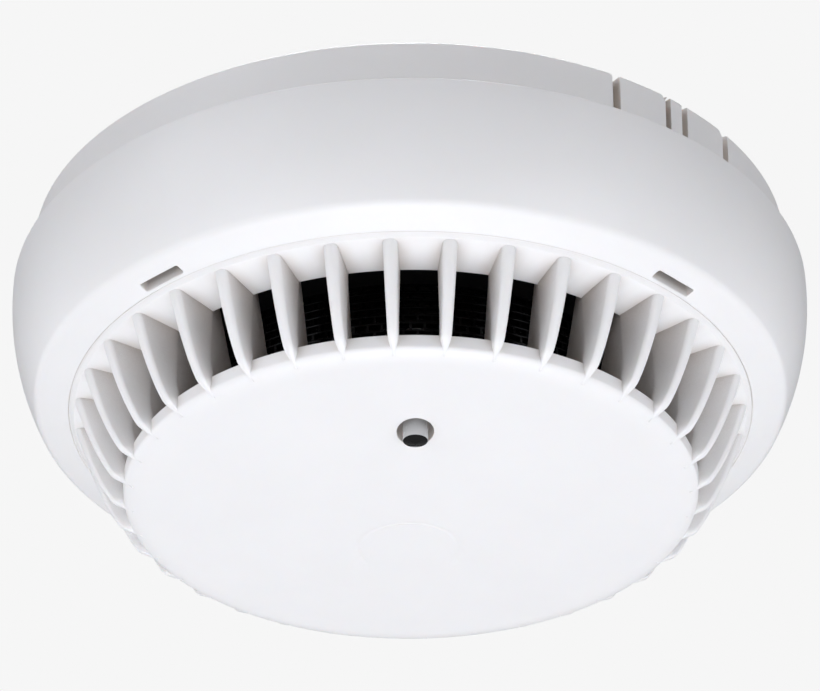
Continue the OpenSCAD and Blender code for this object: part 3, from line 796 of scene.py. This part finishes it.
def area_light(name, azimuth, elevation, distance, size, power, spread=180):
    """Soft square light that looks at the origin, the middle of the detector's back."""
    lamp = bpy.data.lights.new(name, "AREA")
    lamp.shape = "SQUARE"
    lamp.size = size
    lamp.energy = power
    lamp.color = COOL
    lamp.spread = math.radians(spread)
    light = bpy.data.objects.new(name, lamp)
    bpy.context.scene.collection.objects.link(light)
    back = towards(azimuth, elevation)
    light.location = back * distance
    light.rotation_mode = "QUATERNION"
    light.rotation_quaternion = back.to_track_quat("Z", "Y")
    light.visible_camera = False


def world(light, shown):
    """Even surroundings that light the scene less brightly than they look behind it."""
    sky = bpy.data.worlds.new("studio")
    bpy.context.scene.world = sky
    sky.use_nodes = True
    nodes, links = sky.node_tree.nodes, sky.node_tree.links
    nodes.clear()
    out = nodes.new("ShaderNodeOutputWorld")
    mix = nodes.new("ShaderNodeMixShader")
    path = nodes.new("ShaderNodeLightPath")
    for socket, level in ((1, light), (2, shown)):
        background = nodes.new("ShaderNodeBackground")
        background.inputs["Color"].default_value = (level, level, level, 1)
        links.new(background.outputs["Background"], mix.inputs[socket])
    links.new(path.outputs["Is Camera Ray"], mix.inputs[0])
    links.new(mix.outputs["Shader"], out.inputs["Surface"])


def floor(depth, reach, light, shown):
    """Plain pale floor far below the ceiling, which lights the scene less brightly than it looks."""
    bm = bmesh.new()
    bmesh.ops.create_grid(bm, x_segments=4, y_segments=4, size=reach)
    plane = bpy.data.objects.new("floor", bpy.data.meshes.new("floor"))
    bm.to_mesh(plane.data)
    bm.free()
    bpy.context.scene.collection.objects.link(plane)
    plane.location.z = -depth
    pale = moulded("floor_pale", grey(0.78), grey(0.80), (0.8, 0.9), grain=40, relief=0.5, blotch=900)
    nodes, links = pale.node_tree.nodes, pale.node_tree.links
    shader = nodes["Principled BSDF"]
    path = nodes.new("ShaderNodeLightPath")
    glow = nodes.new("ShaderNodeMapRange")
    glow.inputs["To Min"].default_value = light
    glow.inputs["To Max"].default_value = shown
    links.new(path.outputs["Is Camera Ray"], glow.inputs["Value"])
    links.new(glow.outputs["Result"], shader.inputs["Emission Strength"])
    shader.inputs["Emission Color"].default_value = (1, 1, 1, 1)
    plane.data.materials.append(pale)


def camera():
    """Camera below the detector, looking up at it."""
    lens = bpy.data.cameras.new("camera")
    lens.sensor_width = 36
    lens.lens = LENS
    view = bpy.data.objects.new("camera", lens)
    bpy.context.scene.collection.objects.link(view)
    bpy.context.scene.camera = view
    target = Vector((0, 0, -TARGET_DEPTH * MM))
    back = towards(CAMERA_AZIMUTH, CAMERA_ELEVATION)
    view.location = target + back * CAMERA_DISTANCE
    raised = Quaternion((1, 0, 0), math.radians(CAMERA_RAISED))
    rolled = Quaternion((0, 0, 1), math.radians(CAMERA_ROLL))
    view.rotation_mode = "QUATERNION"
    view.rotation_quaternion = back.to_track_quat("Z", "Y") @ raised @ rolled


mounting_base()
front_cover()
vent_ring()
vanes()
front_disc()
insect_screen()
light_pipe()
thermistor_beads()

paint(REAR_WHITE, "rear_cover")
paint(BRONZE, "contact_springs", "contact_blades")
paint(ZINC, "clamp_plates", "terminal_screws", "cover_screws")
paint(TINPLATE, "shield_can")
paint(LAMINATE, "circuit_board")
paint(CHIP_BLACK, "microcontroller")
paint(DRAWN_CAN, "filter_capacitor")
paint(CERAMIC, "resistors")
paint(REED_GLASS, "reed_switch")
paint(LED_RED, "alarm_led")
paint(TINNED_WIRE, "thermistor_leads")
paint(CHAMBER_BLACK, "chamber_base", "labyrinth", "chamber_lid")
paint(EMITTER_BLUE, "ir_emitter")
paint(RECEIVER_BLACK, "photodiode")

floor(depth=2.6, reach=40, light=0.15, shown=0.84)
world(light=0.10, shown=0.922)

# Lights: azimuth, elevation, distance and size in metres, power in watts
area_light("high_left", -60, 25, 1.2, 0.8, 5.3)
area_light("high_right", 60, 25, 1.2, 0.8, 2.9)
area_light("low_left", -45, -15, 0.8, 0.4, 1.4)
area_light("low_right", 45, -15, 0.8, 0.4, 1.6)
area_light("back_left", -120, -10, 1, 0.6, 1.5)
area_light("back_right", 120, -10, 1, 0.6, 1.6)
area_light("below", 0, -90, 0.6, 0.4, 2.0)
area_light("below_near", 0, -70, 0.7, 0.4, 0.8)
area_light("above", 180, 70, 1.2, 0.6, 0.9, spread=40)

camera()
bpy.context.scene.view_settings.view_transform = "Standard"
